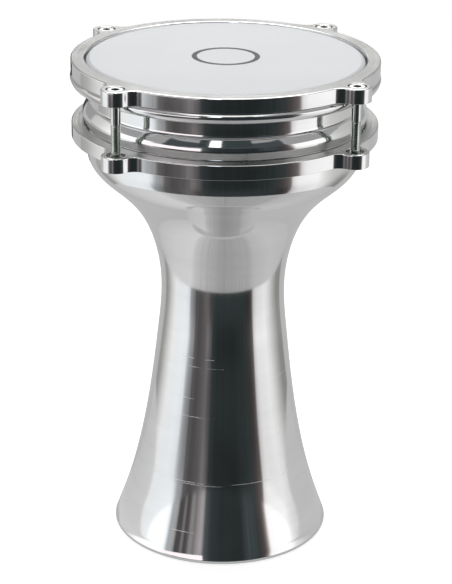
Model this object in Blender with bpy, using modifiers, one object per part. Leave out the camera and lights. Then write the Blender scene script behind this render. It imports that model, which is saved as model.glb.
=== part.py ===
# Darbuka: a turned goblet shell of aluminium, a film head glued into its own hoop, a lugged ring that
# pulls the head down, a matching ring that pulls against the shell's bead, and four tension bolts.
# The frame is +Z up, with the origin on the floor at the centre of the foot. The lugs lie on the diagonals.

import math

import bmesh
import bpy
from mathutils import Vector

# Driving dimensions, in millimetres
HEIGHT = 416.5              # floor to the top of the upper ring
TURNED_STEPS = 48           # facets round every turned piece

RING_OUTER_R = 125.0
RING_THICK = 12.0
UPPER_RING_BORE_R = 114.0
LOWER_RING_BORE_R = 114.9
LOWER_RING_TOP = 364.0
RING_EDGE = 0.8             # rounding of the rings' edges

LUG_ANGLES = (-135, -45, 135, 45)
LUG_NAMES = ("front_left", "front_right", "back_left", "back_right")
BOLT_CIRCLE_R = 131.2
LUG_R = 11.5
LUG_FILLET_R = 11.0

BOLT_R = 3.9                # M8 shank
BOLT_THREAD_R = 3.75
BOLT_LENGTH = 55.0          # under the head
BOLT_PLAIN_LENGTH = 19.5    # unthreaded part of the shank
BOLT_HEAD_R = 6.5
BOLT_HEAD_HEIGHT = 8.0
BOLT_HEAD_SUNK = 0.5        # below the top of the upper ring
HEX_KEY_WIDTH = 6.0         # across flats
HEX_SOCKET_DEPTH = 4.0
BOLT_STEPS = 20

COUNTERBORE_R = 7.3
COUNTERBORE_GAP = 0.3       # between the head's underside and the seat
CLEARANCE_HOLE_R = 4.5
TAPPED_HOLE_R = 4.1
LOWER_RECESS_DEPTH = 5.0

WALL = 3.0                  # shell thickness
RIM_OUTER_R = 111.6         # shell wall just under the head
RIM_TOP = 415.3             # crown of the bearing edge
FOOT_FACE_INNER_R = 87.4    # flat ring that stands on the floor
FOOT_FACE_OUTER_R = 90.2

FILM_TOP = 416.1
FILM_THICK = 0.5
FILM_CORNER_R = 4.0
FILM_COLLAR_R = 112.9       # outside of the film's upright collar
FILM_STEP_TOP = 405.4       # the collar steps outwards here, into the hoop
FILM_STEP_LOW = 403.4
FILM_BOTTOM = 398.4
HOOP_TOP = 404.2
HOOP_BOTTOM = 395.9
HOOP_WALL = 1.6
HOOP_LIP = 1.9              # the channel's inner wall stops this far below its top
HOOP_INNER_R = 112.6
CHANNEL_OUTER_R = 119.8     # far wall of the channel inside the hoop
CHANNEL_TO_FILM = 0.6       # between the channel's inner wall and the film's edge
GLUE_GAP = 0.3              # drawn between the glue and what it holds

# Outside of the hoop, (height, radius): it stands out 0.7 mm beyond the rings
HOOP_OUTLINE = ((404.2, 122.8), (403.3, 124.2), (402.1, 125.3), (401.2, 125.7), (400.2, 125.6), (398.3, 124.8),
                (396.6, 123.7), (395.9, 122.4))
# Outside of the shell, (height, radius): the wall under the head, the bead and the band below it
WALL_OUTLINE = ((405, 111.6), (394, 110.8), (386, 110.1))
BEAD_OUTLINE = ((381.4, 110.1), (380.2, 112.0), (374.6, 115.7), (371.5, 116.1), (367.5, 115.2), (364.6, 114.4))
BAND_OUTLINE = ((361, 113.2), (350, 112.8), (341, 112.6))
# The bowl, the throat and the flared foot, (height, radius)
BODY_OUTLINE = ((335, 112.0), (327, 108.4), (310, 91.4), (286, 69.7), (256, 56.7), (222, 51.8), (180, 54.6),
                (130, 60.6), (80, 69.2), (38, 79.9), (9, 89.9))
BODY_POINTS_PER_SPAN = 2
FOOT_OUTLINE = ((5.2, 91.4), (3.2, 91.9), (1.2, 91.4))
FOOT_INNER_EDGE = (1.0, 86.6)
INNER_CHEST_R = 107.5       # straight bore behind the rings
CHEST_STEP = 4.0            # from the sloping wall of the bowl to the straight bore
CHEST_TOP = 372.0

MM = 0.001


def clear_scene():
    for old in list(bpy.data.objects):
        bpy.data.objects.remove(old, do_unlink=True)


def new_collection(name):
    made = bpy.data.collections.new(name)
    bpy.context.scene.collection.children.link(made)
    return made


def material(name, colour, roughness, metallic):
    made = bpy.data.materials.new(name)
    made.use_nodes = True
    shader = made.node_tree.nodes["Principled BSDF"]
    shader.inputs["Base Color"].default_value = (*colour, 1.0)
    shader.inputs["Roughness"].default_value = roughness
    shader.inputs["Metallic"].default_value = metallic
    return made


def smooth_curve(points, per_span):
    """A curve through the points, with per_span steps between each pair (Catmull-Rom)."""
    spots = [Vector(p) for p in points]
    padded = [2 * spots[0] - spots[1]] + spots + [2 * spots[-1] - spots[-2]]
    curve = []
    for a, b, c, d in zip(padded, padded[1:], padded[2:], padded[3:]):
        for step in range(per_span):
            t = step / per_span
            curve.append(b + 0.5 * t * (c - a + t * (2 * a - 5 * b + 4 * c - d + t * (3 * b - 3 * c + d - a))))
    return curve + [spots[-1]]


def arc(centre, radius, start, end, steps):
    """Points on a circle from one angle to another, in degrees."""
    angles = [math.radians(start + (end - start) * i / steps) for i in range(steps + 1)]
    return [Vector((centre[0] + radius * math.cos(a), centre[1] + radius * math.sin(a))) for a in angles]


def offset_inwards(outline, distance):
    """The outline moved towards the axis, square to itself. Points are (radius, height), top to bottom."""
    moved = []
    for i, here in enumerate(outline):
        along = (outline[min(i + 1, len(outline) - 1)] - outline[max(i - 1, 0)]).normalized()
        moved.append(here + distance * Vector((along.y, -along.x)))
    return moved


def turned(name, outline, collection, look, closed=True, steps=TURNED_STEPS, at=(0, 0, 0)):
    """A turned piece. The outline is (radius, height) in millimetres, outer side first, top to bottom."""
    mesh = bpy.data.meshes.new(name)
    edges = [(i, i + 1) for i in range(len(outline) - 1)]
    if closed:
        edges.append((len(outline) - 1, 0))
    mesh.from_pydata([(r * MM, 0, z * MM) for r, z in outline], edges, [])
    made = bpy.data.objects.new(name, mesh)
    made.location = Vector(at) * MM
    collection.objects.link(made)
    screw = made.modifiers.new("turn", "SCREW")
    screw.axis = "Z"
    screw.angle = math.tau
    screw.steps = steps
    screw.render_steps = steps
    screw.use_merge_vertices = True
    screw.merge_threshold = 0.00001
    mesh.materials.append(look)
    return made


def cutter(name, radius, low, high, centre, sides=20):
    """A round or hexagonal hole to cut, from one height to another."""
    mesh = bpy.data.meshes.new(name)
    form = bmesh.new()
    bmesh.ops.create_cone(form, cap_ends=True, segments=sides, radius1=radius * MM, radius2=radius * MM,
                          depth=(high - low) * MM)
    form.to_mesh(mesh)
    form.free()
    made = bpy.data.objects.new(name, mesh)
    made.location = Vector((centre[0], centre[1], (low + high) / 2)) * MM
    made.hide_render = True
    made.display_type = "WIRE"
    cutters.objects.link(made)
    return made


def cut(piece, tool):
    boolean = piece.modifiers.new("cut " + tool.name, "BOOLEAN")
    boolean.operation = "DIFFERENCE"
    boolean.solver = "EXACT"
    boolean.object = tool


def lug_centre(angle):
    turn = math.radians(angle)
    return BOLT_CIRCLE_R * math.cos(turn), BOLT_CIRCLE_R * math.sin(turn)


def ring_outline():
    """The outside of a ring with its lugs: each lug runs into the ring through two hollow fillets."""
    to_fillet = RING_OUTER_R + LUG_FILLET_R
    from_lug = LUG_R + LUG_FILLET_R
    spread = math.degrees(math.acos((to_fillet ** 2 + BOLT_CIRCLE_R ** 2 - from_lug ** 2)
                                    / (2 * to_fillet * BOLT_CIRCLE_R)))
    at_lug = math.degrees(math.acos((from_lug ** 2 + BOLT_CIRCLE_R ** 2 - to_fillet ** 2)
                                    / (2 * from_lug * BOLT_CIRCLE_R)))
    outline = []
    for lug in sorted(LUG_ANGLES):
        before = Vector((math.cos(math.radians(lug - spread)), math.sin(math.radians(lug - spread)))) * to_fillet
        after = Vector((math.cos(math.radians(lug + spread)), math.sin(math.radians(lug + spread)))) * to_fillet
        nose = 180 - at_lug
        outline += arc(before, LUG_FILLET_R, lug - spread + 180, lug - nose + 180, 5)
        outline += arc(lug_centre(lug), LUG_R, lug - nose, lug + nose, 12)[1:]
        outline += arc(after, LUG_FILLET_R, lug + nose + 180, lug + spread + 180, 5)[1:]
        outline += arc((0, 0), RING_OUTER_R, lug + spread, lug + 90 - spread, 8)[1:-1]
    return outline


def lugged_ring(name, top, bore_r, collection, look):
    """A flat ring with four lugs, its outline and bore drawn as curves and then made solid."""
    drawing = bpy.data.curves.new(name + " outline", "CURVE")
    drawing.dimensions = "2D"
    drawing.fill_mode = "BOTH"
    drawing.extrude = RING_THICK / 2 * MM
    for outline in (ring_outline(), arc((0, 0), bore_r, 0, 360, TURNED_STEPS)[:-1]):
        spline = drawing.splines.new("POLY")
        spline.points.add(len(outline) - 1)
        for point, spot in zip(spline.points, outline):
            point.co = (spot.x * MM, spot.y * MM, 0, 1)
        spline.use_cyclic_u = True
    sketch = bpy.data.objects.new(name + " sketch", drawing)
    sketch.location = (0, 0, (top - RING_THICK / 2) * MM)
    collection.objects.link(sketch)
    bpy.context.view_layer.update()

    mesh = bpy.data.meshes.new_from_object(sketch.evaluated_get(bpy.context.evaluated_depsgraph_get()))
    form = bmesh.new()
    form.from_mesh(mesh)
    bmesh.ops.remove_doubles(form, verts=form.verts, dist=0.00001)
    form.to_mesh(mesh)
    form.free()
    mesh.name = name
    made = bpy.data.objects.new(name, mesh)
    made.matrix_world = sketch.matrix_world
    bpy.data.objects.remove(sketch, do_unlink=True)
    collection.objects.link(made)
    mesh.materials.clear()
    mesh.materials.append(look)

    rounding = made.modifiers.new("edges", "BEVEL")
    rounding.width = RING_EDGE * MM
    rounding.segments = 1
    rounding.limit_method = "ANGLE"
    rounding.angle_limit = math.radians(60)
    return made


def make_shell(collection):
    look = material("shell_aluminium", (0.80, 0.80, 0.80), 0.12, 1.0)
    crown_r = (RIM_OUTER_R - INNER_CHEST_R) / 2
    crown = arc((RIM_OUTER_R - crown_r, RIM_TOP - crown_r), crown_r, 180, 0, 6)
    upright = [Vector((r, z)) for z, r in WALL_OUTLINE + BEAD_OUTLINE + BAND_OUTLINE]
    body = smooth_curve([(r, z) for z, r in BODY_OUTLINE], BODY_POINTS_PER_SPAN)
    outside = crown + upright + body
    foot = [Vector((r, z)) for z, r in FOOT_OUTLINE + ((0, FOOT_FACE_OUTER_R), (0, FOOT_FACE_INNER_R),
                                                       FOOT_INNER_EDGE)]
    inside = offset_inwards(body, WALL)
    inside = [p for p in reversed(inside) if p.x < INNER_CHEST_R - 0.5]
    chest = [Vector((INNER_CHEST_R, inside[-1].y + CHEST_STEP)), Vector((INNER_CHEST_R, CHEST_TOP))]
    return turned("shell", outside + foot + inside + chest, collection, look)


def make_head(collection):
    """The film with its collar, the channel that grips its edge, and the glue that fills the channel."""
    film_look = material("film_white", (0.82, 0.83, 0.84), 0.35, 0.0)
    hoop_look = material("hoop_aluminium", (0.78, 0.78, 0.77), 0.2, 1.0)
    glue_look = material("glue_amber", (0.55, 0.45, 0.28), 0.5, 0.0)

    edge_r = HOOP_INNER_R + HOOP_WALL + CHANNEL_TO_FILM
    centre = (FILM_COLLAR_R - FILM_CORNER_R, FILM_TOP - FILM_CORNER_R)
    outer = [Vector((0, FILM_TOP))] + arc(centre, FILM_CORNER_R, 90, 0, 5)
    outer += [Vector((FILM_COLLAR_R, FILM_STEP_TOP)), Vector((edge_r + FILM_THICK, FILM_STEP_LOW)),
              Vector((edge_r + FILM_THICK, FILM_BOTTOM))]
    inner = [Vector((edge_r, FILM_BOTTOM)), Vector((edge_r, FILM_STEP_LOW - FILM_THICK / 2)),
             Vector((FILM_COLLAR_R - FILM_THICK, FILM_STEP_TOP - FILM_THICK))]
    inner += arc(centre, FILM_CORNER_R - FILM_THICK, 0, 90, 5) + [Vector((0, FILM_TOP - FILM_THICK))]
    turned("head_film", outer + inner, collection, film_look, closed=False)

    inner_lip = HOOP_TOP - HOOP_LIP
    floor = HOOP_BOTTOM + HOOP_WALL
    hoop = [Vector((CHANNEL_OUTER_R, HOOP_TOP))] + [Vector((r, z)) for z, r in HOOP_OUTLINE]
    hoop += [Vector((HOOP_INNER_R, HOOP_BOTTOM)), Vector((HOOP_INNER_R, inner_lip)),
             Vector((HOOP_INNER_R + HOOP_WALL, inner_lip)), Vector((HOOP_INNER_R + HOOP_WALL, floor)),
             Vector((CHANNEL_OUTER_R, floor))]
    turned("flesh_hoop", hoop, collection, hoop_look)

    glue_in = edge_r + FILM_THICK + GLUE_GAP
    glue_out = CHANNEL_OUTER_R - GLUE_GAP
    glue = [Vector((glue_out, FILM_STEP_LOW)), Vector((glue_out, floor + GLUE_GAP)),
            Vector((glue_in, floor + GLUE_GAP)), Vector((glue_in, FILM_STEP_LOW))]
    turned("hoop_glue", glue, collection, glue_look)


def make_rings(collection):
    look = material("ring_aluminium", (0.74, 0.74, 0.73), 0.15, 1.0)
    upper = lugged_ring("upper_ring", HEIGHT, UPPER_RING_BORE_R, collection, look)
    lower = lugged_ring("lower_ring", LOWER_RING_TOP, LOWER_RING_BORE_R, collection, look)
    seat = HEIGHT - BOLT_HEAD_SUNK - BOLT_HEAD_HEIGHT - COUNTERBORE_GAP
    lower_bottom = LOWER_RING_TOP - RING_THICK
    for name, angle in zip(LUG_NAMES, LUG_ANGLES):
        centre = lug_centre(angle)
        cut(upper, cutter("head pocket " + name, COUNTERBORE_R, seat, HEIGHT + 2, centre))
        cut(upper, cutter("bolt hole " + name, CLEARANCE_HOLE_R, HEIGHT - RING_THICK - 2, seat + 1, centre))
        cut(lower, cutter("recess " + name, COUNTERBORE_R, LOWER_RING_TOP - LOWER_RECESS_DEPTH,
                          LOWER_RING_TOP + 2, centre))
        cut(lower, cutter("tapped hole " + name, TAPPED_HOLE_R, lower_bottom - 2,
                          LOWER_RING_TOP - LOWER_RECESS_DEPTH + 1, centre))


def make_bolts(collection):
    """Socket-head bolts, each with its origin on its own axis at the underside of its head."""
    look = material("bolt_zinc", (0.66, 0.68, 0.67), 0.25, 1.0)
    underside = HEIGHT - BOLT_HEAD_SUNK - BOLT_HEAD_HEIGHT
    outline = [Vector(p) for p in (
        (0, BOLT_HEAD_HEIGHT), (BOLT_HEAD_R - 0.5, BOLT_HEAD_HEIGHT), (BOLT_HEAD_R, BOLT_HEAD_HEIGHT - 0.5),
        (BOLT_HEAD_R, 0), (BOLT_R, 0), (BOLT_R, -BOLT_PLAIN_LENGTH), (BOLT_THREAD_R, -BOLT_PLAIN_LENGTH - 0.3),
        (BOLT_THREAD_R, 1 - BOLT_LENGTH), (BOLT_THREAD_R - 1, -BOLT_LENGTH), (0, -BOLT_LENGTH))]
    for name, angle in zip(LUG_NAMES, LUG_ANGLES):
        centre = lug_centre(angle)
        bolt = turned("tension_bolt_" + name, outline, collection, look, closed=False, steps=BOLT_STEPS,
                      at=(*centre, underside))
        top = underside + BOLT_HEAD_HEIGHT
        cut(bolt, cutter("hex socket " + name, HEX_KEY_WIDTH / math.sqrt(3), top - HEX_SOCKET_DEPTH, top + 2,
                         centre, sides=6))


clear_scene()
drum = new_collection("Darbuka")
cutters = new_collection("Cutters")
make_shell(drum)
make_head(drum)
make_rings(drum)
make_bolts(drum)
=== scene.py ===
import math

import bmesh
import bpy
import numpy as np
from mathutils import Matrix, Vector


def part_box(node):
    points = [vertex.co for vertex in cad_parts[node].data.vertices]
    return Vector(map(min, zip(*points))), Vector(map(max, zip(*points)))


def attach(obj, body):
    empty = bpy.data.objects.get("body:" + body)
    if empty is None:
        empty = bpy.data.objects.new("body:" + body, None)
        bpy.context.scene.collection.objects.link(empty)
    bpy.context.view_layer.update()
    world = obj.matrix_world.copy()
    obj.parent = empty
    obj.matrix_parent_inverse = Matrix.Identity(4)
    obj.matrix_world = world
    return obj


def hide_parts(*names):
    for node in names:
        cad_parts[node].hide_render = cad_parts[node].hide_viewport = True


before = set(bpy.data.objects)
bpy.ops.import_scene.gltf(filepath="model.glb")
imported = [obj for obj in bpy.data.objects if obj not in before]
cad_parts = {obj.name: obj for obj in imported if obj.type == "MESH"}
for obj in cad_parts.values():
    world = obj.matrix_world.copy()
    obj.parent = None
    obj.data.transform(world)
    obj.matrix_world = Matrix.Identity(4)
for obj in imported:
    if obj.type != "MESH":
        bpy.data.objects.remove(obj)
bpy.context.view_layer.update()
mm = 0.001
facets = 224  # round every turned piece


class Wire:  # a shader socket that takes + - * / < and >
    def __init__(self, looks, socket):
        self.looks = looks
        self.socket = socket

    def maths(self, kind, first, second):
        return self.looks.node("ShaderNodeMath", {"operation": kind}, {0: first, 1: second})

    def __add__(self, other):
        return self.maths("ADD", self, other)

    def __sub__(self, other):
        return self.maths("SUBTRACT", self, other)

    def __rsub__(self, other):
        return self.maths("SUBTRACT", other, self)

    def __mul__(self, other):
        return self.maths("MULTIPLY", self, other)

    def __truediv__(self, other):
        return self.maths("DIVIDE", self, other)

    def __gt__(self, other):
        return self.maths("GREATER_THAN", self, other)

    def __lt__(self, other):
        return self.maths("LESS_THAN", self, other)

    __radd__ = __add__


class Looks:  # a material and short ways to wire its nodes
    def __init__(self, name):
        self.material = bpy.data.materials.new(name)
        self.material.use_nodes = True
        self.nodes = self.material.node_tree.nodes
        self.links = self.material.node_tree.links
        self.shader = self.nodes["Principled BSDF"]

    def node(self, kind, settings, sockets, output=0):
        made = self.nodes.new(kind)
        for key, value in settings.items():
            if key == "stops":
                self.setStops(made.color_ramp, value)
            else:
                setattr(made, key, value)
        for key, value in sockets.items():
            self.feed(made.inputs[key], value)
        return Wire(self, made.outputs[output])

    def setStops(self, ramp, stops):
        for extra in range(len(stops) - len(ramp.elements)):
            ramp.elements.new(0.5)
        for element, (place, value) in zip(ramp.elements, stops):
            element.position = place
            element.color = (*value, 1) if isinstance(value, tuple) else (value, value, value, 1)

    def feed(self, socket, value):
        if isinstance(value, Wire):
            self.links.new(value.socket, socket)
        else:
            socket.default_value = value

    def where(self):
        return self.node("ShaderNodeTexCoord", {}, {}, "Object")

    def noise(self, stretch, detail=3.0, rough=0.55):
        place = self.node("ShaderNodeMapping", {}, {"Vector": self.where(), "Scale": stretch})
        return self.node("ShaderNodeTexNoise", {}, {"Vector": place, "Scale": 1.0, "Detail": detail,
                                                    "Roughness": rough})

    def lineNoise(self, value, detail, rough=0.5):
        sockets = {"W": value, "Scale": 1.0, "Detail": detail, "Roughness": rough}
        return self.node("ShaderNodeTexNoise", {"noise_dimensions": "1D"}, sockets)

    def ramp(self, value, stops):
        return self.node("ShaderNodeValToRGB", {"stops": stops}, {0: value})

    def blend(self, factor, first, second, kind="MIX"):
        settings = {"data_type": "RGBA", "blend_type": kind}
        return self.node("ShaderNodeMix", settings, {0: factor, 6: first, 7: second}, 2)

    def absolute(self, value):
        return self.node("ShaderNodeMath", {"operation": "ABSOLUTE"}, {0: value})

    def bump(self, height, depth, strength=1.0):
        return self.node("ShaderNodeBump", {}, {"Height": height, "Distance": depth, "Strength": strength})

    def radius(self):
        flat = self.node("ShaderNodeVectorMath", {"operation": "MULTIPLY"}, {0: self.where(), 1: (1, 1, 0)})
        return self.node("ShaderNodeVectorMath", {"operation": "LENGTH"}, {0: flat}, "Value")

    def part(self, axis):
        return self.node("ShaderNodeSeparateXYZ", {}, {0: self.where()}, axis)

    def turned(self):
        # the angle round the upright axis from the front, in radians
        sockets = {0: self.part("X"), 1: 0 - self.part("Y")}
        return self.node("ShaderNodeMath", {"operation": "ARCTAN2"}, sockets)

    def finish(self, **sockets):
        for key, value in sockets.items():
            self.feed(self.shader.inputs[key.replace("_", " ")], value)
        return self.material


polish = {
    "colour": (0.86, 0.86, 0.865, 1),
    "dullColour": (0.70, 0.70, 0.70, 1),
    "lines": (6, 6, 2600),  # fine turning marks
    "bands": (9, 9, 70),
    "smears": (38, 38, 16),
    "roughness": 0.055,
    "lineRoughness": 0.07,
    "smearRoughness": 0.05,
    "lineHeight": 0.25,
    "bumpDepth": 0.000012,
    "hazeHeights": (0.236, 0.272),  # metres: a duller band above the throat
    "hazeRoughness": 0.16,
    "hazeLineHeight": 0.8,
    "waver": (7, 7, 3),
    "waverReach": 0.0022,
    "breaks": (60, 60, 900),
    "scratchWidth": 0.0004,
    "scratchHeight": 5.0,
    "scratchRoughness": 0.3,
    # each scratch is a height in mm, its middle and half its length in degrees, and its depth
    "scratches": ((172, -42, 30, 1.0), (164.5, -28, 24, 0.7), (137, -38, 10, 0.8), (121.5, -34, 28, 0.6),
                  (66, -12, 60, 0.8), (64.5, -30, 26, 0.6), (25, -22, 12, 0.7), (150, 70, 30, 0.8),
                  (96, 120, 44, 0.7), (188, 165, 36, 0.8), (118, -150, 30, 0.9), (58, -100, 40, 0.6),
                  (205, -80, 26, 0.6)),
}


def scratchMask(looks, scratches):
    waver = (looks.noise(polish["waver"], 1.0) - 0.5) * polish["waverReach"]
    broken = looks.ramp(looks.noise(polish["breaks"], 2.0), ((0.42, 0.0), (0.56, 1.0)))
    z = looks.part("Z") + waver
    around = looks.turned() * (180 / math.pi)
    mask = 0
    for height, middle, reach, depth in scratches:
        across = looks.absolute(z - height * mm) < polish["scratchWidth"] / 2
        along = looks.absolute(around - middle) < reach
        mask = mask + across * along * broken * depth
    return mask


def polishedAluminium(name, haze=None, scratches=()):
    looks = Looks(name)
    lines = looks.noise(polish["lines"], 4.0, 0.7)
    bands = looks.noise(polish["bands"])
    smears = looks.ramp(looks.noise(polish["smears"], 2.0), ((0.55, 0.0), (0.75, 1.0)))
    rough = polish["roughness"] + lines * bands * polish["lineRoughness"] + smears * polish["smearRoughness"]
    marks = lines * polish["lineHeight"]
    if haze:
        low, high = haze
        near = 1 - looks.absolute((looks.part("Z") - (low + high) / 2) / ((high - low) / 2))
        veil = looks.node("ShaderNodeMath", {"operation": "MAXIMUM"}, {0: near, 1: 0.0})
        rough = rough + veil * bands * polish["hazeRoughness"]
        marks = marks + veil * lines * polish["hazeLineHeight"]
    if scratches:
        mask = scratchMask(looks, scratches)
        marks = marks + mask * polish["scratchHeight"]
        rough = rough + mask * polish["scratchRoughness"]
    dull = looks.ramp(bands, ((0.35, 0.0), (0.8, 0.35)))
    return looks.finish(Base_Color=looks.blend(dull, polish["colour"], polish["dullColour"]), Metallic=1.0,
                        Roughness=rough, Normal=looks.bump(marks, polish["bumpDepth"], 0.6))


satin = {
    "dark": (0.52, 0.515, 0.50),
    "pale": (0.66, 0.66, 0.65),
    "rings": 5200,  # turning marks on a metre of radius
    "patches": (30, 30, 30),
    "grain": (900, 900, 900),
    "grainHeight": 0.25,
    "roughness": 0.2,
    "patchRoughness": 0.14,
    "ringRoughness": 0.06,
    "bumpDepth": 0.00016,
}


def satinAluminium(name):
    looks = Looks(name)
    rings = looks.lineNoise(looks.radius() * satin["rings"], 3.0)
    patches = looks.noise(satin["patches"], 4.0)
    grain = looks.noise(satin["grain"], 2.0)
    colour = looks.ramp(patches, ((0.3, satin["dark"]), (0.75, satin["pale"])))
    rough = satin["roughness"] + patches * satin["patchRoughness"] + rings * satin["ringRoughness"]
    return looks.finish(Base_Color=colour, Metallic=1.0, Roughness=rough,
                        Normal=looks.bump(rings + grain * satin["grainHeight"], satin["bumpDepth"]))


cast = {
    "dark": (0.46, 0.46, 0.455),
    "pale": (0.62, 0.62, 0.61),
    "pits": (420, 420, 420),
    "sweep": (12, 12, 260),
    "roughness": 0.42,
    "pitRoughness": 0.2,
    "bumpDepth": 0.00015,
}


def castAluminium(name):
    looks = Looks(name)
    pits = looks.noise(cast["pits"], 5.0, 0.65)
    sweep = looks.noise(cast["sweep"])
    colour = looks.ramp(sweep, ((0.3, cast["dark"]), (0.8, cast["pale"])))
    rough = cast["roughness"] + pits * cast["pitRoughness"]
    return looks.finish(Base_Color=colour, Metallic=1.0, Roughness=rough,
                        Normal=looks.bump(pits + sweep, cast["bumpDepth"], 0.5))


film = {
    "colour": (0.77, 0.785, 0.80),
    "cloud": (0.735, 0.75, 0.765),
    "clouds": (14, 14, 14),
    "grain": (700, 700, 700),
    "roughness": 0.36,
    "grainRoughness": 0.1,
    "coat": 0.25,
    "coatRoughness": 0.12,
    "index": 1.4,
    "bumpDepth": 0.00002,
    "markRadius": 0.0255,
    "markWidth": 0.0042,
    "markColour": (0.02, 0.02, 0.024, 1),
    "markGloss": 0.05,
}


def drumFilm():
    looks = Looks("milkyFilm")
    fine = looks.noise(film["grain"])
    body = looks.ramp(looks.noise(film["clouds"], 5.0), ((0.3, film["cloud"]), (0.7, film["colour"])))
    ink = looks.absolute(looks.radius() - film["markRadius"]) < film["markWidth"] / 2
    rough = film["roughness"] + fine * film["grainRoughness"] - ink * film["markGloss"]
    return looks.finish(Base_Color=looks.blend(ink, body, film["markColour"]), Roughness=rough,
                        Coat_Weight=film["coat"] - ink * film["coat"], Coat_Roughness=film["coatRoughness"],
                        IOR=film["index"], Normal=looks.bump(fine, film["bumpDepth"], 0.2))


zinc = {
    "head": (0.87, 0.88, 0.87),
    "thread": (0.76, 0.81, 0.76),
    "shade": 0.82,
    "grain": (1200, 1200, 300),
    "patches": (160, 160, 60),
    "roughness": 0.07,
    "grainRoughness": 0.1,
    "patchRoughness": 0.06,
    "bumpDepth": 0.00001,
}


def zincSteel(name, tint):
    looks = Looks(name)
    grain = looks.noise(zinc["grain"])
    patches = looks.noise(zinc["patches"])
    colour = looks.ramp(patches, ((0.3, tuple(zinc["shade"] * c for c in tint)), (0.7, tint)))
    rough = zinc["roughness"] + grain * zinc["grainRoughness"] + patches * zinc["patchRoughness"]
    return looks.finish(Base_Color=colour, Metallic=1.0, Roughness=rough,
                        Normal=looks.bump(grain, zinc["bumpDepth"], 0.3))


glue = {
    "dark": (0.42, 0.33, 0.19),
    "pale": (0.56, 0.46, 0.29),
    "lumps": (240, 240, 240),
    "roughness": 0.35,
    "lumpRoughness": 0.2,
    "bumpDepth": 0.0002,
}


def curedGlue():
    looks = Looks("curedGlue")
    lumps = looks.noise(glue["lumps"])
    colour = looks.ramp(lumps, ((0.3, glue["dark"]), (0.7, glue["pale"])))
    return looks.finish(Base_Color=colour, Roughness=glue["roughness"] + lumps * glue["lumpRoughness"],
                        Normal=looks.bump(lumps, glue["bumpDepth"], 0.4))


shellLook = polishedAluminium("shellPolish", polish["hazeHeights"], polish["scratches"])
ringLook = polishedAluminium("ringPolish")
hoopLook = polishedAluminium("hoopPolish")
satinLook = satinAluminium("ringSatin")
castLook = castAluminium("shellInside")
filmLook = drumFilm()
boltLook = zincSteel("boltZinc", zinc["head"])
threadLook = zincSteel("threadZinc", zinc["thread"])
glueLook = curedGlue()
print("materials ready")


def smoothLine(points, step):
    # a line through the points that bends evenly, cut into pieces about one step long
    spots = np.array(points, float)
    along = np.concatenate([[0], np.cumsum(np.linalg.norm(np.diff(spots, axis=0), axis=1))])
    gaps = np.diff(along)
    system = np.eye(len(spots))
    pull = np.zeros_like(spots)
    for i in range(1, len(spots) - 1):
        system[i, i - 1:i + 2] = gaps[i - 1], 2 * (gaps[i - 1] + gaps[i]), gaps[i]
        pull[i] = 6 * ((spots[i + 1] - spots[i]) / gaps[i] - (spots[i] - spots[i - 1]) / gaps[i - 1])
    bend = np.linalg.solve(system, pull)
    line = []
    for i, gap in enumerate(gaps):
        first = spots[i] / gap - bend[i] * gap / 6
        second = spots[i + 1] / gap - bend[i + 1] * gap / 6
        for t in np.arange(0, 1, 1 / max(1, round(gap / step))):
            a, b = (1 - t) * gap, t * gap
            line.append((bend[i] * a ** 3 + bend[i + 1] * b ** 3) / (6 * gap) + first * a + second * b)
    return [tuple(p) for p in line] + [tuple(spots[-1])]


def bow(centre, radius, start, end, steps):
    # points on a round, from one angle to another
    turns = [math.radians(start + (end - start) * i / steps) for i in range(steps + 1)]
    return [(centre[0] + radius * math.cos(a), centre[1] + radius * math.sin(a)) for a in turns]


def spot(radius, turned):
    return radius * math.cos(math.radians(turned)), radius * math.sin(math.radians(turned))


def drawProfile(bm, outline, closed):
    verts = [bm.verts.new((r * mm, 0, z * mm)) for r, z in outline]
    pairs = list(zip(verts, verts[1:]))
    if closed:
        pairs.append((verts[-1], verts[0]))
    return verts + [bm.edges.new(pair) for pair in pairs]


def turn(outline, closed=True, steps=facets):
    bm = bmesh.new()
    geometry = drawProfile(bm, outline, closed)
    bmesh.ops.spin(bm, geom=geometry, cent=(0, 0, 0), axis=(0, 0, 1), angle=math.tau, steps=steps,
                   use_merge=True)
    bmesh.ops.remove_doubles(bm, verts=bm.verts, dist=0.000002)
    bmesh.ops.recalc_face_normals(bm, faces=bm.faces)
    return bm


def finishPiece(name, bm, looks, body, replaced, sharp=35):
    mesh = bpy.data.meshes.new(name)
    bm.to_mesh(mesh)
    bm.free()
    mesh.shade_smooth()
    mesh.set_sharp_from_angle(angle=math.radians(sharp))
    for look in looks:
        mesh.materials.append(look)
    piece = bpy.data.objects.new(name, mesh)
    bpy.context.scene.collection.objects.link(piece)
    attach(piece, body)
    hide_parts(replaced)
    return piece


def boreRadius(node):
    return min(vert.co.xy.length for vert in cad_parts[node].data.vertices)


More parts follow.
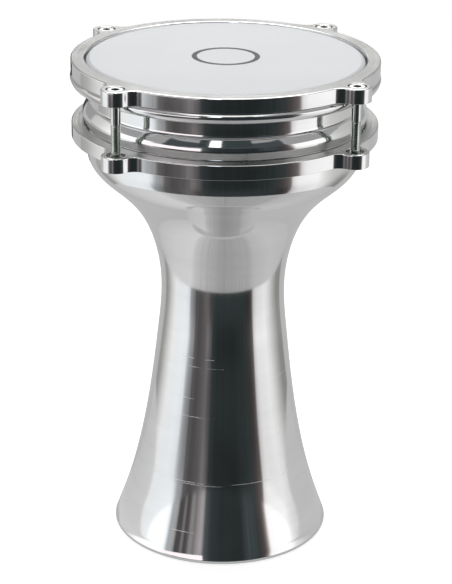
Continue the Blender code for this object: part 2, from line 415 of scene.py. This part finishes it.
# outlines are (radius, height) pairs in mm
shell = {
    "rimTop": 415.3,
    "rimWidth": 4.1,
    "wallStep": 2.0,
    "beadStep": 0.8,
    "bodyStep": 2.2,
    "wall": ((111.6, 405), (110.9, 396), (110.25, 388), (110.05, 383)),
    "bead": ((110.1, 381.9), (110.35, 381.35), (111.1, 381.0), (111.8, 380.55), (112.5, 379.6),
             (113.7, 377.75), (114.6, 376.2), (115.2, 375.1), (115.62, 374.0), (115.9, 372.9),
             (116.05, 371.9), (115.75, 369.8), (115.15, 367.9), (114.6, 365.8), (114.2, 363.8)),
    "body": ((113.3, 360), (112.9, 352), (112.7, 344), (112.0, 335), (108.4, 327), (91.4, 310), (69.7, 286),
             (56.7, 256), (51.8, 222), (54.6, 180), (60.6, 130), (69.2, 80), (79.9, 38), (89.9, 9)),
    "footEdge": (89.1, 3.0),  # centre of the rounded outer edge
    "footEdgeRadius": 2.8,
    "footFlat": ((89.4, 0), (87.6, 0)),
    "footInside": (88.2, 1.6),
    "footInsideRadius": 1.6,
    "insideFrom": 8,  # height where the inner wall starts
    "thickness": 3.0,
    "chest": 107.5,  # the straight bore behind the rings
    "chestEdge": 0.6,
    "chestRise": 6,
    "chestHeights": (372, 400),
    "castBelow": 410,  # inside, the metal is as cast up to here
}


def innerWall(outline, thickness):
    moved = []
    for i, here in enumerate(outline):
        ahead, behind = outline[min(i + 1, len(outline) - 1)], outline[max(i - 1, 0)]
        run = Vector((ahead[0] - behind[0], ahead[1] - behind[1])).normalized()
        moved.append((here[0] + run.y * thickness, here[1] - run.x * thickness))
    return moved


def makeShell():
    chest = shell["chest"]
    crownRadius = shell["rimWidth"] / 2
    crown = bow((chest + crownRadius, shell["rimTop"] - crownRadius), crownRadius, 180, 0, 20)
    wall, bead, body = (smoothLine(shell[name], shell[name + "Step"]) for name in ("wall", "bead", "body"))
    outside = crown + wall + bead + body
    lip = bow(shell["footEdge"], shell["footEdgeRadius"], 40, -80, 12) + list(shell["footFlat"])
    lip += bow(shell["footInside"], shell["footInsideRadius"], -100, -180, 4)
    inside = [p for p in innerWall(body, shell["thickness"])[::3]
              if p[0] < chest - shell["chestEdge"] and p[1] > shell["insideFrom"]][::-1]
    inside += [(chest, inside[-1][1] + shell["chestRise"])] + [(chest, z) for z in shell["chestHeights"]]
    bm = turn(outside + lip + inside)
    for face in bm.faces:
        centre = face.calc_center_median()
        outward = face.normal.x * centre.x + face.normal.y * centre.y
        face.material_index = 1 if outward < 0 and centre.z < shell["castBelow"] * mm else 0
    finishPiece("gobletShell", bm, [shellLook, castLook], "drum_body", "shell")


ring = {
    "boltCircle": 131.2,
    "lugRadius": 11.5,
    "filletRadius": 11.0,
    "upperPocket": (8.8, 4.5),  # depth below the top, and radius of the hole
    "lowerPocket": (5.0, 4.1),
    "pocketRadius": 7.3,
    "pocketEdge": 0.55,
    "holeEdge": 0.5,
    "topEdge": 1.2,
    "lowEdge": 0.3,
    "filletSteps": 14,
    "lugSteps": 40,
    "arcSteps": 26,
    "holeSteps": 48,
    "squareAngle": 1.2,  # radians: a sharper bend is a rim to round
    "flatNormal": 0.98,
    "sharpAngle": 40,
}
lugs = {"front_left": -135, "front_right": -45, "back_left": 135, "back_right": 45}


def sweepPoint(bm, vert, centre, angle, steps):
    # moves a point round a centre and leaves edges behind it
    made = bmesh.ops.spin(bm, geom=[vert], cent=(*centre, 0), axis=(0, 0, 1), angle=math.radians(angle),
                          steps=steps)
    return next(item for item in made["geom_last"] if isinstance(item, bmesh.types.BMVert))


def ringOutline(bm, outerRadius):
    # one quarter at a time: hollow fillet, lug, hollow fillet, then the round of the ring to the next lug
    toFillet = outerRadius + ring["filletRadius"]
    fromLug = ring["lugRadius"] + ring["filletRadius"]
    reach = ring["boltCircle"]
    spread = math.degrees(math.acos((toFillet ** 2 + reach ** 2 - fromLug ** 2) / (2 * toFillet * reach)))
    atLug = math.degrees(math.acos((fromLug ** 2 + reach ** 2 - toFillet ** 2) / (2 * fromLug * reach)))
    bend = 180 - spread - atLug
    for turned in lugs.values():
        before, after = (spot(toFillet * mm, turned + side) for side in (-spread, spread))
        point = bm.verts.new((*spot(outerRadius * mm, turned - spread), 0))
        point = sweepPoint(bm, point, before, -bend, ring["filletSteps"])
        point = sweepPoint(bm, point, spot(reach * mm, turned), 2 * (180 - atLug), ring["lugSteps"])
        point = sweepPoint(bm, point, after, -bend, ring["filletSteps"])
        sweepPoint(bm, point, (0, 0), 90 - 2 * spread, ring["arcSteps"])
    bmesh.ops.remove_doubles(bm, verts=bm.verts, dist=0.00002)


def softenRim(bm, level, width):
    # rounds the square edges that lie at one height
    rims = [edge for edge in bm.edges if edge.calc_face_angle(0) > ring["squareAngle"]
            and all(abs(vert.co.z - level) < 0.0001 for vert in edge.verts)]
    bmesh.ops.bevel(bm, geom=rims, offset=width * mm, affect="EDGES", segments=4, profile=0.5, material=-1)


def pocketOutline(top, bottom, depth, hole):
    # the outline of a lug's hole, from above the ring to below it
    wide, edge, chamfer = ring["pocketRadius"], ring["pocketEdge"], ring["holeEdge"]
    seat = top - depth
    mouth = bow((wide + edge, top - edge), edge, 90, 180, 4)[1:]
    return [(0, top + 1), (wide + edge + 1, top + 1), (wide + edge, top)] + mouth + [
        (wide, seat), (hole + chamfer, seat), (hole, seat - chamfer), (hole, bottom + chamfer),
        (hole + chamfer, bottom), (hole + chamfer + 1, bottom - 1), (0, bottom - 1)]


def cutHole(piece, centre, outline):
    # a turned tool takes the hole out
    bm = turn(outline, closed=False, steps=ring["holeSteps"])
    bmesh.ops.translate(bm, verts=bm.verts, vec=(centre[0] * mm, centre[1] * mm, 0))
    mesh = bpy.data.meshes.new("tool")
    bm.to_mesh(mesh)
    bm.free()
    tool = bpy.data.objects.new("tool", mesh)
    bpy.context.scene.collection.objects.link(tool)
    hole = piece.modifiers.new("hole", "BOOLEAN")
    hole.operation = "DIFFERENCE"
    hole.object = tool
    return tool


def makeRing(name, node, body, pocket):
    low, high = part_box(node)
    bm = bmesh.new()
    ringOutline(bm, high.x / mm)
    bmesh.ops.create_circle(bm, segments=facets, radius=boreRadius(node))
    bmesh.ops.triangle_fill(bm, use_beauty=True, edges=bm.edges)
    bmesh.ops.translate(bm, verts=bm.verts, vec=(0, 0, low.z))
    made = bmesh.ops.extrude_face_region(bm, geom=bm.faces[:])
    lifted = [item for item in made["geom"] if isinstance(item, bmesh.types.BMVert)]
    bmesh.ops.translate(bm, verts=lifted, vec=(0, 0, high.z - low.z))
    bmesh.ops.recalc_face_normals(bm, faces=bm.faces)
    softenRim(bm, high.z, ring["topEdge"])
    softenRim(bm, low.z, ring["lowEdge"])
    piece = finishPiece(name, bm, [ringLook, satinLook], body, node)
    outline = pocketOutline(high.z / mm, low.z / mm, *pocket)
    tools = [cutHole(piece, spot(ring["boltCircle"], turned), outline) for turned in lugs.values()]
    solved = bpy.data.meshes.new_from_object(piece.evaluated_get(bpy.context.evaluated_depsgraph_get()))
    piece.modifiers.clear()
    piece.data = solved
    for tool in tools:
        bpy.data.objects.remove(tool)
    for face in solved.polygons:
        face.material_index = 1 if abs(face.normal.z) > ring["flatNormal"] else 0
    solved.shade_smooth()
    solved.set_sharp_from_angle(angle=math.radians(ring["sharpAngle"]))
    flat = piece.modifiers.new("flatFaces", "WEIGHTED_NORMAL")
    flat.keep_sharp = True


head = {
    "flat": (0, 60, 100),  # radii on the skin
    "corner": 4.0,
    "collar": 112.9,
    "collarOutside": ((0, 406), (0.2, 405.2)),  # from the collar's radius, and height
    "edgeOutside": ((-0.4, 403.8), (0, 403.2), (0, 398.6)),  # from the film's edge, and height
    "edgeInside": (398.6, 403.0),
    "collarInside": (405, 406),
    "filmThickness": 0.3,
    "hoopSide": ((-2.9, 404.15), (-1.9, 403.9), (-0.72, 402.75), (-0.2, 402.05), (-0.02, 401.3),
                 (-0.1, 400.4), (-0.75, 398.6), (-1.75, 396.9), (-2.5, 396.2), (-3.4, 395.92)),
    "hoopStep": 0.25,
    "channelOuter": 119.8,
    "channelTop": 0.05,
    "hoopWall": 1.6,
    "hoopEdge": 0.5,
    "hoopLip": 1.9,
}


def makeFilm():
    low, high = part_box("head_film")
    top, edge = high.z / mm, high.x / mm
    thick, corner, collar = head["filmThickness"], head["corner"], head["collar"]
    centre = (collar - corner, top - corner)
    outline = [(r, top) for r in head["flat"]] + bow(centre, corner, 90, 0, 16)
    outline += [(collar + r, z) for r, z in head["collarOutside"]]
    outline += [(edge + r, z) for r, z in head["edgeOutside"]]
    outline += [(edge - thick, z) for z in head["edgeInside"]]
    outline += [(collar - thick, z) for z in head["collarInside"]]
    outline += bow(centre, corner - thick, 0, 90, 12) + [(r, top - thick) for r in head["flat"][::-1]]
    bm = turn(outline, closed=False)
    finishPiece("drumhead", bm, [filmLook], "head_clamp", "head_film", 60)


def makeHoop():
    low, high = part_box("flesh_hoop")
    top, bottom, outside = high.z / mm, low.z / mm, high.x / mm
    side = smoothLine([(outside + r, z) for r, z in head["hoopSide"]], head["hoopStep"])
    far, wall, edge = head["channelOuter"], head["hoopWall"], head["hoopEdge"]
    inside, lip = boreRadius("flesh_hoop") / mm, top - head["hoopLip"]
    profile = [(far, top - head["channelTop"])] + side + [
        (inside + edge, bottom), (inside, bottom + edge), (inside, lip), (inside + wall, lip),
        (inside + wall, bottom + wall), (far, bottom + wall)]
    finishPiece("headHoop", turn(profile), [hoopLook], "head_clamp", "flesh_hoop")


bolt = {
    "shank": 3.95,
    "core": 3.4,
    "pitch": 1.25,
    "plain": 19.5,
    "headRadius": 6.5,
    "headHeight": 8.0,
    "headEdge": 0.6,
    "underEdge": 0.3,
    "neck": 0.4,
    "runOut": 0.7,
    "tipEdge": 0.8,
    "keyWidth": 6.0,
    "keyDepth": 4.0,
    "keyEdge": 0.9,
    "facets": 60,
    "ridgeRoot": 0.15,  # how far the ridge goes into the core
    "ridgeGap": 0.04,
    "threadStart": 0.4,
    "threadEnd": 1.4,
    "threadSteps": 28,
}


def boltOutline(top, tip):
    key = bolt["keyWidth"] / math.sqrt(3)
    wide, edge, below = bolt["headRadius"], bolt["headEdge"], bolt["underEdge"]
    shank, core = bolt["shank"], bolt["core"]
    under = top - bolt["headHeight"]
    plainEnd = under - bolt["plain"]
    return [(key + bolt["keyEdge"], top)] + bow((wide - edge, top - edge), edge, 90, 0, 5) + [
        (wide, under + below), (wide - below, under), (shank + below, under), (shank, under - bolt["neck"]),
        (shank, plainEnd), (core, plainEnd - bolt["runOut"]), (core, tip + bolt["tipEdge"]),
        (core - bolt["tipEdge"], tip), (0, tip)]


def sinkKey(bm, top):
    # a six-sided socket in the open top of the head
    key = bolt["keyWidth"] / math.sqrt(3)
    rim = [edge for edge in bm.edges if edge.is_boundary]
    socket = bmesh.ops.create_circle(bm, segments=bolt["facets"], radius=key * mm)["verts"]
    for vert in socket:
        across = (math.atan2(vert.co.y, vert.co.x) + math.pi / 6) % (math.pi / 3) - math.pi / 6
        vert.co.xy = vert.co.xy.normalized() * (bolt["keyWidth"] / 2 * mm / math.cos(across))
        vert.co.z = top * mm
    loop = [edge for edge in bm.edges if edge.verts[0] in socket and edge.verts[1] in socket]
    bmesh.ops.bridge_loops(bm, edges=rim + loop)
    walls = bmesh.ops.extrude_edge_only(bm, edges=loop)["geom"]
    sunk = [item for item in walls if isinstance(item, bmesh.types.BMVert)]
    bmesh.ops.translate(bm, verts=sunk, vec=(0, 0, -bolt["keyDepth"] * mm))
    floor = [item for item in walls if isinstance(item, bmesh.types.BMEdge)
             and item.verts[0] in sunk and item.verts[1] in sunk]
    bmesh.ops.contextual_create(bm, geom=floor)


def cutThread(bm, top, bottom):
    # a ridge with a three-cornered section, wound down the core
    half = bolt["pitch"] / 2 - bolt["ridgeGap"]
    root = bolt["core"] - bolt["ridgeRoot"]
    outline = [(root, top - half * 0.2), (bolt["shank"], top - half), (root, top - half * 1.8)]
    section = drawProfile(bm, outline, True)
    ends = [bm.faces.new([item for item in section if isinstance(item, bmesh.types.BMVert)])]
    turns = (top - bottom - 2 * half) / bolt["pitch"]
    steps = int(turns * bolt["threadSteps"])
    bmesh.ops.spin(bm, geom=section + ends, cent=(0, 0, 0), axis=(0, 0, 1), angle=-math.tau * turns,
                   dvec=(0, 0, -bolt["pitch"] * mm * turns / steps), steps=steps)


def makeBolt(place, turned):
    node = "tension_bolt_" + place
    low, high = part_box(node)
    top, tip = high.z / mm, low.z / mm
    plainEnd = top - bolt["headHeight"] - bolt["plain"]
    bm = turn(boltOutline(top, tip), closed=False, steps=bolt["facets"])
    sinkKey(bm, top)
    cutThread(bm, plainEnd - bolt["threadStart"], tip + bolt["threadEnd"])
    bmesh.ops.recalc_face_normals(bm, faces=bm.faces)
    for face in bm.faces:
        face.material_index = 1 if face.calc_center_median().z < plainEnd * mm else 0
    x, y = spot(ring["boltCircle"], turned)
    bmesh.ops.translate(bm, verts=bm.verts, vec=(x * mm, y * mm, 0))
    finishPiece("bolt_" + place, bm, [boltLook, threadLook], "bolt_" + place, node)


makeShell()
print("shell made")
makeRing("upperRing", "upper_ring", "head_clamp", ring["upperPocket"])
makeRing("lowerRing", "lower_ring", "drum_body", ring["lowerPocket"])
print("rings made")
makeFilm()
makeHoop()
print("head made")
for place, turned in lugs.items():
    makeBolt(place, turned)
print("bolts made")
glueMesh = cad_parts["hoop_glue"].data
glueMesh.materials.clear()
glueMesh.materials.append(glueLook)


studio = {
    "cameraTurn": -5.57,
    "cameraDistance": 1.534,
    "cameraHeight": 0.824,
    "cameraSide": 0.00275,
    "cameraPitch": 21.77,
    "cameraRoll": 0.79,
    "lens": 120.5,
    "floorRadius": 12,
    "floorPale": 0.9,
    "floorGlow": 0.64,
    "floorInMirrors": 0.52,
    "worldPale": 0.9,
    "worldInMirrors": 0.36,
    "tableEdge": 0.42,
    "nearTableEnd": 0.1,  # from the table's edge
    "farTableStart": 0.7,  # from the same edge
    "cardFacet": 3,  # degrees
    "overheadPower": 7.0,
    "overheadSize": (1.2, 0.8),
    "overheadHeight": 1.35,
    "overheadDistance": 0.35,
    "overheadAim": 0.25,
}


def makeCamera():
    turned = math.radians(studio["cameraTurn"])
    right = Vector((math.cos(turned), math.sin(turned), 0))
    ahead = Vector((-math.sin(turned), math.cos(turned), 0))
    data = bpy.data.cameras.new("camera")
    data.sensor_width = 36
    data.lens = studio["lens"]
    camera = bpy.data.objects.new("camera", data)
    seat = right * studio["cameraSide"] - ahead * studio["cameraDistance"]
    camera.matrix_world = (Matrix.Translation(seat + Vector((0, 0, studio["cameraHeight"])))
                           @ Matrix.Rotation(turned, 4, "Z")
                           @ Matrix.Rotation(math.radians(90 - studio["cameraPitch"]), 4, "X")
                           @ Matrix.Rotation(math.radians(studio["cameraRoll"]), 4, "Z"))
    bpy.context.scene.collection.objects.link(camera)
    bpy.context.scene.camera = camera


def stageObject(name, bm, material):
    mesh = bpy.data.meshes.new(name)
    bm.to_mesh(mesh)
    bm.free()
    mesh.materials.append(material)
    made = bpy.data.objects.new(name, mesh)
    bpy.context.scene.collection.objects.link(made)
    return made


def splitLook(tree, surface, mirrorGlow):
    # one shader as the eye sees it, and a plain glow for what the metal mirrors
    out = next(node for node in tree.nodes if node.type.startswith("OUTPUT"))
    mix = tree.nodes.new("ShaderNodeMixShader")
    ray = tree.nodes.new("ShaderNodeLightPath")
    glow = tree.nodes.new("ShaderNodeEmission")
    glow.inputs["Strength"].default_value = mirrorGlow
    tree.links.new(ray.outputs["Is Camera Ray"], mix.inputs[0])
    tree.links.new(glow.outputs[0], mix.inputs[1])
    tree.links.new(surface.outputs[0], mix.inputs[2])
    tree.links.new(mix.outputs[0], out.inputs["Surface"])


def makeFloor():
    pale = studio["floorPale"]
    looks = Looks("floorPaper")
    material = looks.finish(Base_Color=(pale, pale, pale, 1), Roughness=1.0, Specular_IOR_Level=0.0,
                            Emission_Color=(1, 1, 1, 1), Emission_Strength=studio["floorGlow"])
    splitLook(material.node_tree, looks.shader, studio["floorInMirrors"])
    bm = bmesh.new()
    bmesh.ops.create_circle(bm, cap_ends=True, segments=96, radius=studio["floorRadius"])
    stageObject("floor", bm, material)


def makeWorld():
    world = bpy.data.worlds.new("studio")
    world.use_nodes = True
    back = world.node_tree.nodes["Background"]
    back.inputs["Strength"].default_value = studio["worldPale"]
    back.inputs["Color"].default_value = (1, 1, 1, 1)
    splitLook(world.node_tree, back, studio["worldInMirrors"])
    bpy.context.scene.world = world


def makeCard(name, left, right, path, material):
    # a card bent round the drum that paints a reflection: it lights nothing and is seen only in the metal.
    # Left and right are degrees from the camera's side, and the path is its section, as distances from the
    # drum's axis and heights in metres
    bm = bmesh.new()
    away = Vector((*spot(1, left - 90), 0))
    verts = [bm.verts.new(away * distance + Vector((0, 0, height))) for distance, height in path]
    edges = [bm.edges.new(pair) for pair in zip(verts, verts[1:])]
    bmesh.ops.spin(bm, geom=verts + edges, cent=(0, 0, 0), axis=(0, 0, 1), angle=math.radians(right - left),
                   steps=max(2, int((right - left) / studio["cardFacet"])))
    card = stageObject(name, bm, material)
    card.rotation_euler.z = math.radians(studio["cameraTurn"])
    card.visible_camera = False
    card.visible_diffuse = False
    card.visible_shadow = False


def glowLook(looks, colour, glow):
    return looks.finish(Base_Color=(0, 0, 0, 1), Specular_IOR_Level=0.0, Emission_Color=colour,
                        Emission_Strength=glow)


# painted reflection: how bright the room is by direction, seen only in the metal and lighting nothing:
# degrees from the camera's side, and brightness or tint
room = {
    "span": 130,
    "section": ((0.1, 0.003), (3.0, 0.003), (3.0, 1.6)),
    "wallFrom": 0.05,  # height in metres
    "brightest": 1.25,
    "gain": 1.1,
    "tableTop": ((-130, 0.52), (-95, 0.62), (-60, 0.66), (-30, 0.50), (0, 0.38), (40, 0.44), (90, 0.54),
                 (130, 0.50)),
    "nearTable": ((-130, 0.40), (-124, 0.28), (-116, 0.38), (-101, 0.72), (-93, 0.86), (-70, 0.90),
                  (-62, 0.80), (-58.5, 0.34), (-52, 0.24), (-48, 0.10), (-36, 0.09), (-28, 0.16),
                  (-20, 0.07), (-12, 0.045), (47, 0.04), (52, 0.07), (54, 0.16), (56, 0.50), (62, 0.72),
                  (80, 0.84), (88, 0.76), (104, 0.42), (114, 0.26), (126, 0.26), (130, 0.48)),
    "farTable": ((-130, 0.36), (-118, 0.44), (-108, 0.62), (-93, 0.88), (-62, 0.95), (-58.5, 0.80),
                 (-55.5, 0.45), (-50, 0.36), (-46.5, 0.12), (-40, 0.085), (-31, 0.11), (-24, 0.21),
                 (-20, 0.14), (-16, 0.045), (-8, 0.026), (20, 0.022), (36, 0.035), (44, 0.055), (51, 0.11),
                 (54, 0.16), (56, 0.76), (61, 0.92), (80, 0.98), (88, 0.74), (97, 0.58), (112, 0.52),
                 (130, 0.50)),
    "wall": ((-130, 0.56), (-116, 0.66), (-101, 0.96), (-92, 1.17), (-64, 1.18), (-59.5, 1.0), (-57, 0.44),
             (-51, 0.46), (-48, 0.08), (-43, 0.07), (-41, 0.30), (-39, 0.07), (-35, 0.09), (-32, 0.32),
             (-28, 0.20), (-20, 0.48), (-17, 0.11), (-10, 0.05), (0, 0.035), (24, 0.030), (31, 0.075),
             (44, 0.055), (50, 0.10), (53, 0.34), (55.5, 1.05), (80, 1.15), (88, 0.78), (102, 0.58),
             (130, 0.44)),
    "tint": ((-130, (1.0, 1.0, 0.97)), (-100, (1.0, 1.0, 0.98)), (-80, (0.95, 0.98, 1.0)),
             (-54, (0.93, 0.97, 1.0)), (-46, (1.0, 0.95, 0.95)), (-20, (1.0, 0.93, 0.94)),
             (-14, (0.78, 0.95, 1.0)), (40, (0.78, 0.97, 1.0)), (48, (1.0, 0.84, 0.81)),
             (55, (1.0, 0.95, 0.93)), (60, (1.0, 1.0, 1.0)), (130, (1.0, 1.0, 0.97))),
    "streaks": ((-130, 0.0), (-60, 0.0), (-50, 0.3), (50, 0.3), (56, 0.0), (130, 0.0)),
    "streaksInTurn": 26,
}


def roomLook():
    # painted reflection of the light of the room by direction: the table top, the floor beyond its edge, and
    # the wall
    looks = Looks("roomLight")
    turned = looks.turned()
    across = turned / math.radians(2 * room["span"]) + 0.5
    streaks = looks.ramp(looks.lineNoise(turned * room["streaksInTurn"], 4.0, 0.7), ((0.35, 0.0), (0.7, 1.0)))

    def around(key, top=1.0):
        stops = []
        for place, value in room[key]:
            shade = tuple(c / top for c in value) if isinstance(value, tuple) else value / top
            stops.append(((place + room["span"]) / (2 * room["span"]), shade))
        return looks.ramp(across, stops)

    edge, top = studio["tableEdge"], room["brightest"]
    radius = looks.radius()
    near, far = edge + studio["nearTableEnd"], edge + studio["farTableStart"]
    beyond = looks.node("ShaderNodeMapRange", {"interpolation_type": "SMOOTHSTEP"},
                        {"Value": radius, "From Min": near, "From Max": far})
    lying = looks.blend(beyond, around("nearTable", top), around("farTable", top))
    lying = looks.blend(radius > edge, around("tableTop", top), lying)
    light = looks.blend(looks.part("Z") > room["wallFrom"], lying, around("wall", top))
    # painted colour tints of the reflected room
    light = looks.blend(1.0, light, looks.blend(radius > edge, (1, 1, 1, 1), around("tint")), "MULTIPLY")
    # painted darker streaks across the reflected room
    light = looks.blend(1.0, light, 1 - around("streaks") * streaks, "MULTIPLY")
    return glowLook(looks, light, room["brightest"] * room["gain"])


cards = {  # left, right, section, colour and glow
    # painted dark reflection: a dim card seen only in the metal
    "upperWall": (-52, 52, ((3.0, 1.6), (3.0, 3.2)), (0.8, 0.93, 1.0, 1), 0.08),
    # painted dark reflection: a dim card seen only in the metal
    "darkCeiling": (-22, 24, ((1.35, 1.25), (0.42, 0.95)), (0.75, 0.95, 1.0, 1), 0.06),
    # painted highlight: a bright card seen only in the metal
    "roofWindow": (-11.5, -2.5, ((0.4, 0.56), (0.4, 0.94)), (0.93, 0.98, 1.0, 1), 1.7),
    # painted highlight: a bright card seen only in the metal
    "sideGlow": (-62, -17, ((1.0, 0.20), (1.0, 0.62)), (1.0, 0.93, 0.95, 1), 1.2),
    # painted highlight: a bright card seen only in the metal
    "brightRoof": (-180, 180, ((0.02, 2.3), (1.25, 2.3)), (1, 1, 1, 1), 1.25),
    # painted highlight: a bright card seen only in the metal
    "softCeiling": (167, 193, ((2.2, 0.85), (1.3, 2.0), (1.2, 2.3)), (1, 1, 1, 1), 1.4),
    # painted dark reflection: a dim card seen only in the metal
    "backShade": (168, 205, ((0.9, 0.003), (2.9, 0.003), (2.9, 0.8)), (0.9, 0.97, 1.0, 1), 0.07),
}


def makeRoom():
    makeCard("room", -room["span"], room["span"], room["section"], roomLook())
    for name, (left, right, path, colour, glow) in cards.items():
        makeCard(name, left, right, path, glowLook(Looks(name + "Look"), colour, glow))


def makeOverhead():
    data = bpy.data.lights.new("overhead", "AREA")
    data.shape = "RECTANGLE"
    data.size, data.size_y = studio["overheadSize"]
    data.energy = studio["overheadPower"]
    light = bpy.data.objects.new("overhead", data)
    light.location = (*spot(studio["overheadDistance"], studio["cameraTurn"] + 90), studio["overheadHeight"])
    towards = Vector((0, 0, studio["overheadAim"])) - light.location
    light.rotation_euler = towards.to_track_quat("-Z", "Y").to_euler()
    light.visible_camera = False
    bpy.context.scene.collection.objects.link(light)


makeCamera()
makeFloor()
makeWorld()
makeRoom()
makeOverhead()
bpy.context.scene.view_settings.view_transform = "Standard"
print("studio ready")
